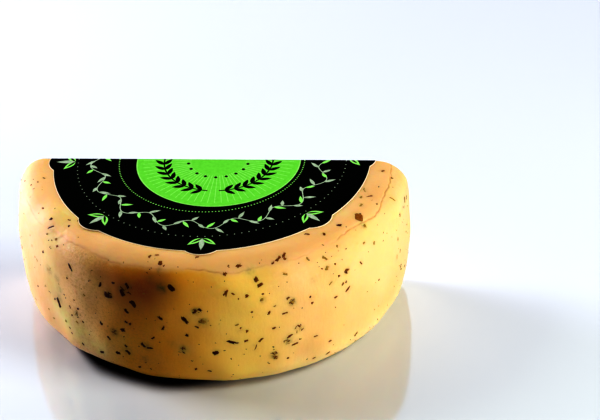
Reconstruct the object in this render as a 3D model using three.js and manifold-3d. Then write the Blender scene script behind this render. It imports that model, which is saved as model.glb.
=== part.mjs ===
// Half of a cut wheel of semi-hard herb cheese, with the half of its lobed paper label that lies on it.
// Millimetres, +Z up. The rind faces -Y and the cut faces +Y.
// The origin is on the ground, under the middle of the half's bounding box.
import * as THREE from 'three';
import { mergeVertices } from 'three/addons/utils/BufferGeometryUtils.js';
import Module from 'manifold-3d';

const wasm = await Module();
wasm.setup();

const degrees = THREE.MathUtils.degToRad;

// Driving dimensions of the wheel
const WHEEL_RADIUS = 130; // at half height, where the wheel is widest
const WHEEL_HEIGHT = 94.5;
const SIDE_BULGE = 5.4; // how far the side wall draws in at the level of the top and bottom faces
const TOP_ROUNDING = 18.8;
const BOTTOM_ROUNDING = 18.2;
const CUT_BEHIND_AXIS = 0.7; // the knife passed this far behind the wheel's axis

// The wheel is a little out of round and leans, as a pressed and turned cheese does.
// Bearings are measured from the front, -Y, towards +X.
const OVAL = 1.7;
const OVAL_BEARING = degrees(-53);
const THREE_SIDED = 1.1;
const THREE_SIDED_BEARING = degrees(-28);
const LEAN = 0.0166; // sideways shift for each millimetre of height

// A shallow fold line runs round the shoulder. It is deepest on the right and dies away on the left.
const FOLD_DEPTH = 0.8;
const FOLD_HALF_WIDTH = degrees(5);
const FOLD_ANGLE = degrees(53); // above the shoulder's level start
const FOLD_DEEPEST_BEARING = degrees(65);

// Driving dimensions of the label
const LABEL_RADIUS = 105;
const LABEL_THICKNESS = 0.4;
const LOBES = 8;
const LOBE_REACH = 108.8; // from the axis to a lobe's tip
const LOBE_HALF_ANGLE = degrees(5.5);
const LOBE_TURN = degrees(2);

// Facets
const STEPS_ROUND = 96;
const STEPS_PER_CORNER = 9;
const STEPS_UP_SIDE = 9;
const STEPS_PER_LABEL_ARC = 5;
const MERGE_DISTANCE = 1e-3;

// Radius of the side wall at a height
function sideRadius(z) {
  const middle = WHEEL_HEIGHT / 2;
  return WHEEL_RADIUS - SIDE_BULGE * ((z - middle) / middle) ** 2;
}

// Rows of the wheel's profile from the bottom of the axis, round the outside, to the top of the axis.
// A row is a radius and a height, with the way in to the rounding's centre where the fold line runs.
function profileRows() {
  const rows = [{ r: 0, z: 0 }];
  const quarter = Math.PI / 2;

  const bottomCentre = { r: sideRadius(BOTTOM_ROUNDING) - BOTTOM_ROUNDING, z: BOTTOM_ROUNDING };
  for (let i = 0; i <= STEPS_PER_CORNER; i++) {
    const a = quarter * (i / STEPS_PER_CORNER) - quarter;
    rows.push(onRounding(bottomCentre, BOTTOM_ROUNDING, a));
  }

  const shoulderLevel = WHEEL_HEIGHT - TOP_ROUNDING;
  for (let i = 1; i < STEPS_UP_SIDE; i++) {
    const z = THREE.MathUtils.lerp(BOTTOM_ROUNDING, shoulderLevel, i / STEPS_UP_SIDE);
    rows.push({ r: sideRadius(z), z });
  }

  const topCentre = { r: sideRadius(shoulderLevel) - TOP_ROUNDING, z: shoulderLevel };
  for (const a of shoulderAngles()) {
    const row = onRounding(topCentre, TOP_ROUNDING, a);
    if (a === FOLD_ANGLE) row.inwards = { r: -Math.cos(a), z: -Math.sin(a) };
    rows.push(row);
  }

  rows.push({ r: 0, z: WHEEL_HEIGHT });
  return rows;
}

function onRounding(centre, radius, angle) {
  return { r: centre.r + radius * Math.cos(angle), z: centre.z + radius * Math.sin(angle) };
}

// Even steps up the shoulder, except that the fold line has its two edges and its bottom
function shoulderAngles() {
  const fold = [FOLD_ANGLE - FOLD_HALF_WIDTH, FOLD_ANGLE, FOLD_ANGLE + FOLD_HALF_WIDTH];
  const even = [];
  for (let i = 0; i <= STEPS_PER_CORNER; i++) even.push((Math.PI / 2) * (i / STEPS_PER_CORNER));
  const clearOfFold = even.filter((a) => Math.abs(a - FOLD_ANGLE) > 1.3 * FOLD_HALF_WIDTH);
  return [...clearOfFold, ...fold].sort((a, b) => a - b);
}

// How much the radius grows at a bearing
function outOfRound(bearing) {
  const oval = OVAL * Math.sin(2 * bearing + OVAL_BEARING);
  const threeSided = THREE_SIDED * Math.sin(3 * bearing + THREE_SIDED_BEARING);
  return 1 + (oval + threeSided) / WHEEL_RADIUS;
}

function foldDepth(bearing) {
  return FOLD_DEPTH * ((1 + Math.cos(bearing - FOLD_DEEPEST_BEARING)) / 2) ** 2;
}

// The whole wheel, before it is cut
function wheelGeometry() {
  const rows = profileRows();
  const outline = rows.map(({ r, z }) => new THREE.Vector2(r, z));
  const wheel = new THREE.LatheGeometry(outline, STEPS_ROUND);
  wheel.rotateX(Math.PI / 2);

  const position = wheel.attributes.position;
  for (let i = 0; i < position.count; i++) {
    const row = rows[i % rows.length];
    const bearing = Math.atan2(position.getX(i), -position.getY(i));
    const depth = row.inwards ? foldDepth(bearing) : 0;
    const r = (row.r + (row.inwards?.r ?? 0) * depth) * outOfRound(bearing);
    const z = row.z + (row.inwards?.z ?? 0) * depth;
    const shift = LEAN * (z - WHEEL_HEIGHT / 2);
    position.setXYZ(i, r * Math.sin(bearing) + shift, -r * Math.cos(bearing), z);
  }
  return wheel;
}

// The whole label: a disc whose edge carries evenly spaced round lobes
function labelGeometry() {
  const chord = LABEL_RADIUS * Math.cos(LOBE_HALF_ANGLE);
  const halfWidth = LABEL_RADIUS * Math.sin(LOBE_HALF_ANGLE);
  const rise = LOBE_REACH - chord;
  const lobeRadius = (halfWidth ** 2 + rise ** 2) / (2 * rise);
  const lobeCentre = LOBE_REACH - lobeRadius;
  const lobeSweep = Math.atan2(halfWidth, chord - lobeCentre);
  const spacing = (2 * Math.PI) / LOBES;

  const outline = new THREE.Shape();
  for (let k = 0; k < LOBES; k++) {
    const a = k * spacing + LOBE_TURN - Math.PI / 2;
    const x = lobeCentre * Math.cos(a);
    const y = lobeCentre * Math.sin(a);
    outline.absarc(x, y, lobeRadius, a - lobeSweep, a + lobeSweep, false);
    outline.absarc(0, 0, LABEL_RADIUS, a + LOBE_HALF_ANGLE, a + spacing - LOBE_HALF_ANGLE, false);
  }
  const label = new THREE.ExtrudeGeometry(outline, {
    depth: LABEL_THICKNESS,
    bevelEnabled: false,
    curveSegments: STEPS_PER_LABEL_ARC,
  });
  return label.translate(0, 0, WHEEL_HEIGHT);
}

// The side of the knife that is kept
function keptSide() {
  const size = 4 * WHEEL_RADIUS;
  return new THREE.BoxGeometry(size, size, size).translate(0, CUT_BEHIND_AXIS - size / 2, 0);
}

function toSolid(geometry) {
  const bare = geometry.clone();
  bare.deleteAttribute('normal');
  bare.deleteAttribute('uv');
  const merged = mergeVertices(bare, MERGE_DISTANCE);
  const corners = merged.index.array;
  const triangles = [];
  for (let i = 0; i < corners.length; i += 3) {
    const [a, b, c] = corners.slice(i, i + 3);
    if (a !== b && b !== c && c !== a) triangles.push(a, b, c);
  }
  return new wasm.Manifold(new wasm.Mesh({
    numProp: 3,
    vertProperties: new Float32Array(merged.attributes.position.array),
    triVerts: new Uint32Array(triangles),
  }));
}

function fromSolid(solid) {
  const mesh = solid.getMesh();
  const geometry = new THREE.BufferGeometry();
  geometry.setAttribute('position', new THREE.BufferAttribute(new Float32Array(mesh.vertProperties), 3));
  geometry.setIndex(new THREE.BufferAttribute(new Uint32Array(mesh.triVerts), 1));
  geometry.computeVertexNormals();
  return geometry;
}

function cutInHalf(geometry) {
  return fromSolid(toSolid(geometry).intersect(toSolid(keptSide())));
}

function namedMesh(name, geometry, material) {
  const mesh = new THREE.Mesh(geometry, new THREE.MeshStandardMaterial(material));
  mesh.name = name;
  return mesh;
}

const cheese = namedMesh('cheese', cutInHalf(wheelGeometry()), { color: 0xf2cf83, roughness: 0.45, metalness: 0 });
const label = namedMesh('label', cutInHalf(labelGeometry()), { color: 0x0a0f08, roughness: 0.5, metalness: 0 });

// The wheel's axis is set back, so that the half stands centred on the origin
cheese.geometry.computeBoundingBox();
const middle = cheese.geometry.boundingBox.getCenter(new THREE.Vector3());
const half = new THREE.Group();
half.position.set(-middle.x, -middle.y, 0);
half.add(cheese, label);

export default half;
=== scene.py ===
"""Half of a cut herb cheese wheel with its lobed paper label, in a pale studio."""
import math

import bpy
import numpy as np
from mathutils import Matrix, Vector
from mathutils.bvhtree import BVHTree
from mathutils.geometry import delaunay_2d_cdt


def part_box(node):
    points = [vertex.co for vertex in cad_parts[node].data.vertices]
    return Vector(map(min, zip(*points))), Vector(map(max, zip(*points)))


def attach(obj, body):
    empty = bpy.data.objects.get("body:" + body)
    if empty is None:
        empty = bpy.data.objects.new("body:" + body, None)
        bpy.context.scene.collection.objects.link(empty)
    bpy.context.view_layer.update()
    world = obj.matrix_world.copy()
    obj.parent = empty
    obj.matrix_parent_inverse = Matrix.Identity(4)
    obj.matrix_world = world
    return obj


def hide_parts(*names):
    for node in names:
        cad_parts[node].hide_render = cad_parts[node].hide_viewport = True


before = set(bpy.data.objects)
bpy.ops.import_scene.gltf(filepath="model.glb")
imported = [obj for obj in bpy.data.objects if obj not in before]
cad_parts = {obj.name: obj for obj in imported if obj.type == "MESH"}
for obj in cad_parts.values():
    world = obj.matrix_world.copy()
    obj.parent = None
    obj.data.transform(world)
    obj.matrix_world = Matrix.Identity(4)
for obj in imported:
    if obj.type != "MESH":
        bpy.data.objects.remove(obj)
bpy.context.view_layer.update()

# Lengths are in millimetres, in a frame on the wheel's axis, until a mesh is made
MM = 0.001

# The wheel's form, as in the solid
WHEEL_RADIUS = 130.0
WHEEL_HEIGHT = 94.5
SIDE_BULGE = 5.4
TOP_ROUNDING = 18.8
BOTTOM_ROUNDING = 18.2
SHOULDER_LEVEL = WHEEL_HEIGHT - TOP_ROUNDING
CUT_BEHIND_AXIS = 0.7
OVAL = 1.7
OVAL_BEARING = math.radians(-53)
THREE_SIDED = 1.1
THREE_SIDED_BEARING = math.radians(-28)
LEAN = 0.0166

# The rind's strip runs from just inside the underside's edge to just inside the top face's edge
FLAT_MARGIN = 6.0
JOIN_SMOOTHING = 3.0
ROW_STEP = 1.2
SHOULDER_ROW_STEP = 0.45
RIND_COLUMNS = 400
CUT_COLUMNS = 190
CAP_RINGS = (0.96, 0.88, 0.7, 0.4)
CAP_CENTRE = (0.0, -0.42 * WHEEL_RADIUS)

# The fold line round the shoulder
FOLD_ALONG = FLAT_MARGIN + 102.2
FOLD_CLIMB = 2.3
FOLD_WANDER = 0.9
FOLD_WANDER_LENGTHS = (22.0, 60.0)
FOLD_JAGS = 0.22
FOLD_JAG_LENGTHS = (4.0, 11.0)
FOLD_DEPTH = 0.32
FOLD_WIDTH = 0.45
FOLD_DEEP_BEARINGS = np.radians((38, 52))
FOLD_PATCHES = (0.2, 0.25)
FOLD_PATCH_LENGTHS = (20.0, 60.0)
FOLD_LEAST = 0.02
FOLD_ROLL = 0.3
FOLD_ROLL_LEAST = 0.25
FOLD_ROLL_EDGE = 1.3
FOLD_ROLL_REACH = 7.0
FOLD_ROLL_FROM = np.radians((-62, -42))
FOLD_ROLL_TO = np.radians((10, -12))
FINE_ROWS_BELOW_FOLD = 14.0

# Unevenness of the rind and of the cut
SWELL = 0.32
SWELL_LENGTHS = (24.0, 60.0)
WRINKLE = 0.016
WRINKLE_LENGTHS = (3.2, 8.0)
WRINKLE_BEARINGS = np.radians((-10, -40))
EVEN_AT_FOOT = 16.0
EVEN_AT_TOP = 9.0
DIMPLES = 60
DIMPLE_DEPTHS = (0.06, 0.2)
DIMPLE_RADII = (4.0, 9.0)
DIMPLE_SHARES = (0.15, 0.8)
KNIFE_WAVER = 0.16
KNIFE_LENGTHS = (18.0, 70.0)
KNIFE_EASE_ACROSS = 0.06
KNIFE_EASE_UP = 0.08

# The camera, fitted to the photograph's 600 by 420 frame
IMAGE_CENTRE = (300.0, 210.0)
IMAGE_WIDTH = 600.0
SENSOR = 36.0
FOCAL_PIXELS = 2100.0
CAMERA_BEARING = math.radians(5.37)
CAMERA_PITCH = math.radians(33.82)
CAMERA_ROLL = math.radians(-2.55)
CAMERA_DISTANCE = 1442.4
AXIS_FOOT_PIXEL = (220.5, 276.5)

# The label
LABEL_RADIUS = 105.0
LABEL_THICKNESS = 0.4
LOBES = 8
LOBE_REACH = 108.8
LOBE_HALF_ANGLE = math.radians(5.5)
LOBE_TURN = math.radians(2)
PAPER_EDGE = 0.45
DISC_CENTRE = (4.5, -1.0)
DISC_RADIUS = 53.6
DISC_RIM = 0.9

# The label's print: radii, lengths and widths, and headings
SPROUT_FOOT = 91.0
SPROUT_SPREAD = math.radians(52)
SPROUT_LEAF = (11.5, 4.4)
SPROUT_VEIN = (8.5, 1.4)
SPROUT_BUD = (13.0, 3.6)
VINE_RADIUS = 76.0
VINE_SWING = 4.5
VINE_WAVES = 16
VINE_WIDTH = 0.8
VINE_LEAF_LENGTHS = (8.5, 6.5)
VINE_LEAF_WIDTH = 2.6
VINE_LEAF_TURN = math.radians(42)
INNER_BEADS = {"count": 97, "radius": 61.5, "size": 0.55}
OUTER_BEADS = {"count": 65, "radius": 89.0, "size": 0.45}
RAYS = 40
RAY_ENDS = (18.0, 50.0)
RAY_WIDTH = 0.5
WREATH_RADIUS = 36.0
WREATH_ENDS = (6, 100)
WREATH_WIDTH = 0.9
WREATH_LEAF = (8.5, 3.0)
WREATH_LEAF_TURN = 42
WREATH_DOTS_RADIUS = 20.0
WREATH_DOT = 1.1

# The boldest bits of herb in the rind: pixel x and y, length and width in millimetres, and turn in degrees
DARK_HERBS = [
    (70, 267, 5.2, 1.9, -60), (59, 303, 6.0, 2.1, -70), (55, 299, 1.6, 1.0, 80),
    (100, 285, 4.0, 1.7, 68), (108, 295, 5.8, 4.2, 10), (113, 283, 2.4, 1.4, 20),
    (127, 286, 4.4, 2.4, -60), (122, 293, 5.0, 3.2, -55), (133, 304, 5.2, 3.2, -50),
    (126, 311, 4.6, 1.9, -48), (171, 288, 5.6, 3.2, -48), (160, 318, 3.8, 1.7, -45),
    (163, 328, 3.4, 1.4, 70), (185, 320, 5.8, 2.8, -60), (194, 312, 3.6, 1.6, 50),
    (200, 310, 3.2, 1.5, -30), (197, 327, 2.4, 1.0, -30), (187, 335, 2.0, 1.8, 0),
    (153, 338, 2.4, 1.1, 45), (101, 323, 2.9, 1.8, -60), (126, 322, 2.4, 1.6, -20),
    (130, 324, 2.2, 1.3, 40), (123, 330, 3.0, 2.3, 30), (109, 338, 3.0, 1.4, -45),
    (102, 352, 4.0, 1.6, 25), (118, 353, 3.2, 2.6, -60), (128, 352, 4.6, 2.2, -48),
    (126, 346, 2.2, 1.6, -50), (143, 345, 4.2, 2.2, -50), (150, 348, 4.2, 1.4, 10),
    (216, 353, 3.4, 2.8, 20), (140, 367, 2.0, 1.5, 20), (151, 369, 1.2, 1.0, 0),
    (196, 369, 2.0, 1.5, 30), (210, 371, 2.4, 1.0, -15), (83, 344, 2.4, 1.3, -55),
    (78, 309, 2.0, 1.8, 0), (51, 227, 4.8, 0.9, 48), (51, 219, 2.4, 1.7, 60), (69, 226, 1.9, 1.5, 0),
    (43, 252, 2.0, 1.8, 45), (231, 342, 5.2, 2.2, -20), (237, 343, 2.0, 1.0, -10),
    (339, 225, 3.4, 1.8, -32),
]
BROWN_HERBS = [
    (160, 263, 3.5, 2.7, 10), (157, 255, 3.0, 1.0, 20), (150, 256, 2.4, 1.6, 60),
    (197, 257, 2.6, 1.4, 25), (67, 278, 1.8, 1.4, -50), (57, 246, 1.8, 1.4, 40),
    (43, 208, 2.2, 1.2, 20), (69, 220, 2.4, 1.1, 25), (44, 178, 2.6, 0.9, 30), (38, 182, 2.1, 0.8, 15),
    (31, 185, 1.8, 1.0, 20), (72, 333, 1.5, 1.0, -40), (284, 255, 5.0, 1.7, 58),
    (278, 259, 5.2, 1.7, 32), (285, 259, 2.2, 1.6, 60), (273, 263, 2.4, 1.2, 35),
    (239, 266, 3.6, 2.0, 12), (225, 274, 2.4, 2.1, 0), (256, 279, 3.2, 2.2, -80),
    (260, 285, 3.2, 1.7, 25), (226, 293, 4.2, 2.2, 62), (233, 294, 2.4, 1.1, -50),
    (247, 296, 2.2, 2.0, 0), (263, 294, 1.5, 1.2, 0), (288, 298, 2.0, 1.7, 30),
    (252, 312, 1.4, 1.2, 60), (269, 313, 3.0, 1.4, 70), (285, 313, 3.4, 1.1, 3),
    (247, 331, 2.0, 1.3, 70), (274, 328, 2.8, 1.5, 12), (290, 336, 3.6, 1.6, 32),
    (295, 344, 4.2, 1.2, 15), (246, 341, 2.3, 1.4, 12), (261, 340, 3.6, 1.3, 48),
    (256, 347, 5.2, 0.6, 70), (288, 358, 1.5, 1.3, 0), (316, 336, 2.6, 0.9, 5),
    (330, 341, 2.1, 1.3, 25), (356, 334, 3.2, 1.2, 42), (328, 353, 3.0, 1.3, 25),
    (314, 358, 2.2, 1.0, 10), (312, 303, 1.8, 1.5, 0), (336, 297, 2.3, 1.1, 5),
    (348, 289, 4.8, 1.4, 35), (343, 284, 2.0, 1.3, 60), (346, 282, 1.9, 1.1, 75),
    (339, 276, 1.5, 1.3, 0), (347, 270, 3.4, 1.4, -15), (361, 263, 3.0, 1.0, -60),
    (335, 264, 1.3, 1.2, 0), (307, 234, 3.2, 1.5, -30), (324, 234, 2.2, 1.6, 65),
    (370, 196, 4.6, 1.2, -40), (383, 171, 3.6, 1.4, -30), (377, 204, 1.6, 1.3, 0),
    (392, 178, 1.8, 1.5, 0), (400, 215, 3.0, 1.3, -75), (398, 239, 2.2, 1.2, 70),
    (379, 280, 1.6, 1.2, 0), (38, 286, 1.4, 1.1, 0), (36, 299, 2.0, 1.1, -60), (70, 307, 2.4, 1.0, -55),
    (72, 315, 2.0, 1.3, 30), (70, 328, 1.6, 1.1, -30), (83, 322, 1.8, 1.2, -20),
    (74, 300, 1.4, 1.0, 40),
]
OLIVE_HERBS = [
    (325, 258, 3.8, 1.6, -45), (327, 268, 2.8, 1.9, 60), (308, 259, 2.9, 1.1, -65),
    (285, 274, 3.0, 1.3, -20), (331, 283, 2.8, 0.9, 30), (262, 300, 2.6, 2.0, 0),
    (292, 302, 3.0, 2.2, -30), (361, 205, 3.3, 1.4, 8), (361, 197, 3.0, 1.3, 5),
    (364, 189, 3.0, 0.7, 12), (365, 191, 2.6, 0.6, 30), (365, 226, 2.4, 1.8, 50),
    (393, 199, 4.6, 0.9, -68), (374, 243, 2.3, 1.5, 70), (364, 243, 2.2, 1.4, 15),
    (337, 246, 1.8, 1.3, 60), (397, 257, 3.8, 0.8, 80), (203, 322, 4.4, 2.2, 15),
    (275, 306, 2.0, 1.0, 30), (84, 295, 1.9, 1.2, -30), (78, 221, 2.1, 0.9, 10),
    (32, 246, 1.9, 0.9, -70), (237, 325, 2.2, 1.2, 20), (37, 260, 2.2, 1.0, -50),
    (35, 257, 1.4, 0.9, -20), (47, 234, 1.8, 1.2, 0), (56, 239, 2.0, 1.4, 30), (49, 309, 1.8, 1.0, 40),
    (54, 318, 2.0, 1.1, 20), (66, 321, 1.8, 1.5, 0), (77, 322, 1.8, 1.2, -30),
]
RUST_HERBS = [(359, 217, 6.4, 5.6, 38)]

# Tufts of fine bits: pixel x and y, and radius in millimetres
HERB_TUFTS = [
    (183, 349, 2.6), (300, 328, 2.6), (288, 341, 2.4), (274, 353, 1.6), (275, 358, 1.6),
    (202, 322, 2.2), (109, 295, 3.0), (114, 332, 2.0), (77, 314, 2.2), (125, 288, 3.0), (292, 302, 1.8),
    (196, 311, 2.2), (347, 270, 1.6),
]

# Soft stains in the rind, and brown spots of painted shade over the dark front valley: pixel x and y,
# radius in millimetres, and strength
HAZES = [
    (58, 212, 12.0, 0.45), (72, 220, 10.0, 0.3), (50, 240, 9.0, 0.5), (48, 262, 9.0, 0.6),
    (54, 285, 9.0, 0.6), (58, 305, 10.0, 0.6), (66, 322, 11.0, 0.6), (84, 336, 11.0, 0.5),
    (102, 350, 10.0, 0.45), (122, 345, 9.0, 0.25), (198, 318, 6.0, 0.25), (184, 349, 6.0, 0.25),
    (225, 325, 9.0, 0.2), (250, 270, 6.0, 0.35), (292, 338, 8.0, 0.35), (335, 284, 7.0, 0.25),
    (345, 213, 5.0, 0.35), (365, 227, 5.0, 0.4),
]
# Painted shade: brown spots that darken the front valley below the fold
PAINTED_SHADE_SPOTS = [
    (102, 274, 8.0, 0.4), (120, 279, 9.0, 0.45), (142, 281, 10.0, 0.55), (161, 281, 8.0, 0.4),
    (132, 298, 11.0, 0.45), (151, 296, 11.0, 0.45), (113, 294, 9.0, 0.3), (130, 320, 12.0, 0.15),
]
SMUDGES = [
    (160, 287, 3.2, 0.8), (163, 290, 2.4, 0.6), (122, 290, 3.0, 0.6), (129, 286, 2.2, 0.5),
    (184, 349, 2.6, 0.6), (203, 322, 3.0, 0.6), (197, 311, 2.6, 0.4), (250, 271, 2.8, 0.35),
    (292, 302, 2.6, 0.4), (288, 341, 3.0, 0.45), (274, 355, 2.6, 0.5), (263, 300, 2.0, 0.35),
    (114, 332, 3.4, 0.5), (128, 351, 3.4, 0.4), (147, 347, 3.0, 0.4), (145, 359, 2.8, 0.4),
    (49, 270, 3.0, 0.5), (57, 279, 2.6, 0.45), (60, 290, 2.6, 0.4), (159, 271, 2.0, 0.5),
    (150, 279, 3.2, 0.4), (172, 344, 3.0, 0.2), (108, 295, 3.4, 0.5), (77, 313, 2.8, 0.3),
    (59, 297, 2.6, 0.35), (313, 280, 2.6, 0.2), (312, 298, 2.2, 0.2), (363, 226, 2.4, 0.3),
    (300, 328, 2.4, 0.35), (240, 330, 2.4, 0.2), (216, 352, 2.2, 0.3), (327, 268, 2.0, 0.25),
]

# Hazes in the cut: millimetres across and up from the axis's foot, radius, and strength
CUT_HAZES = [
    (-18.0, 76.0, 17.0, 0.35), (-48.0, 64.0, 14.0, 0.3), (34.0, 58.0, 18.0, 0.2),
    (-78.0, 48.0, 15.0, 0.25), (62.0, 78.0, 12.0, 0.2), (4.0, 30.0, 16.0, 0.15), (88.0, 36.0, 14.0, 0.15),
]

# Scattered bits of herb: how many, their sizes in millimetres, and where they may lie
SMALL_HERBS = 260
SMALL_HERB_LENGTHS = (0.5, 1.5)
SMALL_HERB_CLEARANCE = 3.0
SMALL_HERB_REACH = math.radians(88)
SMALL_HERB_SHARES = (0.07, 0.93)
SIDE_HERBS = 26
SIDE_HERB_LENGTHS = (1.5, 4.8)
SIDE_HERB_BEARINGS = (70, 87)
SIDE_HERB_SHARES = (0.15, 0.8)
PASTE_HERBS = 170
PASTE_HERB_LENGTHS = (0.7, 4.6)
PASTE_HERB_WIDTHS = (0.2, 0.5)
PASTE_HERB_RARITY = 1.7
PASTE_HERB_SLANT = 50
PASTE_HERB_REACH = WHEEL_RADIUS - 5
PASTE_HERB_MARGIN = 2.5
PASTE_HERB_INSET = 6.0
TUFT_BITS = 7
TUFT_LENGTHS = (0.8, 3.0)
TUFT_WIDTHS = (0.2, 0.45)
TUFT_TONES = (0.3, 0.3, 0.4)

# The form of a bit of herb: its torn outline, and its rings as shares of that outline with their lifts
HERB_CORNERS = 14
HERB_SQUARENESS = 6
HERB_TEARS = 0.25
TORN_WIDTH = 2.4
HERB_BEND = 0.12
HERB_LEAST_WIDTH = 0.5
HERB_RINGS = ((1.0, -0.25), (0.96, 0.03), (0.55, 0.08))
HERB_CROWN = 0.09
CUT_HERB_SINK = 0.05
DARK, BROWN, OLIVE = range(3)

# Stains round bits of herb
HALO_FROM = 1.8
HALO_REACH = 0.75
HALO_STRENGTH = 0.14
CUT_STAIN = 0.4
CUT_STAIN_LENGTH = 4

# Bearings, in degrees, over which each colour of the rind comes and then goes; the amber is painted shade
# over the dark front valley, the gold a painted shade tint across the front, and the foot a painted bounce
# light low on the right
SHADE_AMBER_BEARINGS = (-38, -20, -10, 15)
SHADE_GOLD_BEARINGS = (-14, 2, 14, 32)
LEATHER_BEARINGS = (-47, -38, -25, 4)
BOUNCE_LIGHT_BEARINGS = (8, 32)

# Edges of the colours, in millimetres above the fold or along the strip
BAND_EDGE = (-1.5, 0.8)
SHADE_BROWN_EDGE = (0.5, -2.5)
FRONT_EDGE = (1.5, -3.5)
FRONT_FOOT = 20.0
BOUNCE_LIGHT_EDGE = (44, 18)

# The studio, with lengths in metres
FLOOR_SIZE = 8.0
FLOOR_BELOW = 0.0001
FLOOR_ROUGHNESS = 0.09
FLOOR_METALLIC = 0.18
WORLD_COLOUR = (1.0, 0.9, 0.8, 1.0)
WORLD_STRENGTH = 0.01
VIEW_GAMMA = 0.8

# The floor's contact shade: its reach in metres, its range of occlusion, and its two ends in millimetres
CONTACT_REACH = 0.02
CONTACT_RANGE = (0.3, 0.75)
CONTACT_LEFT = (-102, -64)
CONTACT_RIGHT = (-30, 40)
CONTACT_OPENING = 0.6

# Soft lights: bearing from the front towards +X and elevation in degrees, distance and size in metres,
# power in watts, and tint
LIGHTS = {
    "key_right": (65, 14, 1.5, 0.5, 8.6, (0.92, 0.95, 1.0)),
    "high_right": (76, 45, 1.5, 0.5, 7.9, (1.0, 1.0, 0.93)),
    "low_left": (-113, 10, 1.5, 0.7, 24, (0.77, 0.69, 1.0)),
    "high_left": (-107, 38, 1.5, 0.5, 6.2, (0.9, 1.0, 0.8)),
    "back_panel": (180, 27, 2.2, 1.6, 7.8, (0.96, 0.96, 1.0)),
}

SEED = 20


def waves(u, v, lengths, count, seed):
    """Smooth seeded unevenness of about unit height over flat coordinates in millimetres."""
    rng = np.random.default_rng(seed)
    total = np.zeros(np.broadcast(u, v).shape)
    for _ in range(count):
        heading, phase = rng.uniform(0, 2 * math.pi, 2)
        turns = 2 * math.pi / rng.uniform(*lengths)
        total += np.sin(turns * (u * math.cos(heading) + v * math.sin(heading)) + phase)
    return total / math.sqrt(count / 2)


def smoothstep(low, high, x):
    t = np.clip((x - low) / (high - low), 0, 1)
    return t * t * (3 - 2 * t)


# The rind's surface

def side_radius(z):
    middle = WHEEL_HEIGHT / 2
    return WHEEL_RADIUS - SIDE_BULGE * ((z - middle) / middle) ** 2


def wheel_profile(spacing=0.1):
    """Evenly spaced radii and heights along the rind's strip, with the joins of its curves smoothed."""
    quarter = np.linspace(0, math.pi / 2, 200)
    low = side_radius(BOTTOM_ROUNDING) - BOTTOM_ROUNDING
    high = side_radius(SHOULDER_LEVEL) - TOP_ROUNDING
    wall = np.linspace(BOTTOM_ROUNDING, SHOULDER_LEVEL, 400)
    radius = np.concatenate([
        [low - FLAT_MARGIN],
        low + BOTTOM_ROUNDING * np.sin(quarter),
        side_radius(wall[1:-1]),
        high + TOP_ROUNDING * np.cos(quarter),
        [high - FLAT_MARGIN],
    ])
    height = np.concatenate([
        [0.0],
        BOTTOM_ROUNDING * (1 - np.cos(quarter)),
        wall[1:-1],
        SHOULDER_LEVEL + TOP_ROUNDING * np.sin(quarter),
        [WHEEL_HEIGHT],
    ])
    along = np.concatenate([[0.0], np.cumsum(np.hypot(np.diff(radius), np.diff(height)))])
    even = np.arange(0, along[-1], spacing)
    window = np.hanning(int(2 * JOIN_SMOOTHING / spacing) + 1)
    window /= window.sum()
    reach = len(window) // 2
    smooth = []
    for values in (np.interp(even, along, radius), np.interp(even, along, height)):
        inner = np.convolve(values, window, mode="valid")
        smooth.append(np.concatenate([values[:reach], inner, values[-reach:]]))
    return even, smooth[0], smooth[1]


def profile_normals(along, radius, height):
    slope_r = np.gradient(radius, along)
    slope_z = np.gradient(height, along)
    steepness = np.hypot(slope_r, slope_z)
    return slope_z / steepness, -slope_r / steepness


ALONG, PROFILE_RADIUS, PROFILE_HEIGHT = wheel_profile()
STRIP = ALONG[-1]
NORMAL_R, NORMAL_Z = profile_normals(ALONG, PROFILE_RADIUS, PROFILE_HEIGHT)


def out_of_round(bearing):
    oval = OVAL * np.sin(2 * bearing + OVAL_BEARING)
    three_sided = THREE_SIDED * np.sin(3 * bearing + THREE_SIDED_BEARING)
    return 1 + (oval + three_sided) / WHEEL_RADIUS


def fold_along(bearing):
    """How far up the strip the fold line runs at a bearing."""
    round_way = bearing * WHEEL_RADIUS
    wander = FOLD_WANDER * waves(round_way, 0 * round_way, FOLD_WANDER_LENGTHS, 8, SEED + 1)
    jags = FOLD_JAGS * waves(round_way, 0 * round_way, FOLD_JAG_LENGTHS, 6, SEED + 12)
    return FOLD_ALONG + FOLD_CLIMB * bearing + wander + jags


def fold_strength(bearing):
    """The fold is deep on the right, and comes and goes at the front and left."""
    right = smoothstep(*FOLD_DEEP_BEARINGS, bearing)
    mean, swing = FOLD_PATCHES
    patchy = mean + swing * waves(bearing * WHEEL_RADIUS, 0 * bearing, FOLD_PATCH_LENGTHS, 6, SEED + 8)
    return np.clip(right + (1 - right) * patchy, FOLD_LEAST, 1)


def fold_roll(bearing, above_fold):
    """The shoulder rolls out over the wall at the fold, most of all at the front left."""
    front_left = smoothstep(*FOLD_ROLL_TO, bearing) * smoothstep(*FOLD_ROLL_FROM, bearing)
    strength = FOLD_ROLL_LEAST + (1 - FOLD_ROLL_LEAST) * front_left
    step = above_fold / np.hypot(above_fold, FOLD_ROLL_EDGE)
    return FOLD_ROLL * strength * step * np.exp(-(above_fold / FOLD_ROLL_REACH) ** 2)


def dimples(round_way, along):
    rng = np.random.default_rng(SEED + 2)
    depth = np.zeros(np.broadcast(round_way, along).shape)
    half_round = WHEEL_RADIUS * math.pi / 2
    for _ in range(DIMPLES):
        at_round = rng.uniform(-half_round, half_round)
        at_along = rng.uniform(*DIMPLE_SHARES) * STRIP
        radius = rng.uniform(*DIMPLE_RADII)
        away = ((round_way - at_round) ** 2 + (along - at_along) ** 2) / radius ** 2
        depth += rng.uniform(*DIMPLE_DEPTHS) * np.exp(-away)
    return depth


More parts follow.
